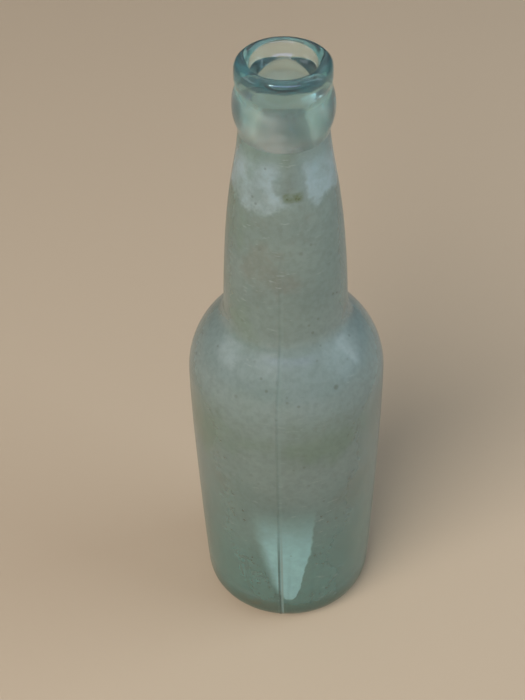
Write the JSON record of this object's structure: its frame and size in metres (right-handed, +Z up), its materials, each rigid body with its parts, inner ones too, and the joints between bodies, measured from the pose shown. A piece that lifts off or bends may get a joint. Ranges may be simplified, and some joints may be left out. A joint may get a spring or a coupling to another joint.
{
  "type": "glass soda bottle",
  "caption": "Hand-finished aqua glass soda bottle with a round shoulder, bulged neck, crown lip over a collar, and dried scale left inside.",
  "frame": {"origin": "middle of the base on the plane that the bottle stands on", "axes": "+Z up along the bottle's axis; the two mould seams lie on the Y axis, and -Y is the side that faces the viewer"},
  "size_m": [0.06, 0.0604, 0.2],
  "materials": {
    "hazed_glass": "aqua glass, outside etched to a soft haze by age, seeds and faint wave marks in the wall",
    "clear_glass": "aqua glass, glossy at the lip, slightly hazed on the collar",
    "scale": "thin whitish-blue dried mineral film, matt and uneven",
    "stain": "olive-brown dried deposit, matt",
    "sediment": "dark brown dried sediment, matt"
  },
  "bodies": {
    "root": {"blown_body": "hazed_glass", "crown_finish": "clear_glass", "neck_scale_film": "scale", "neck_stain": "stain", "heel_sediment": "sediment"}
  },
  "joints": []
}
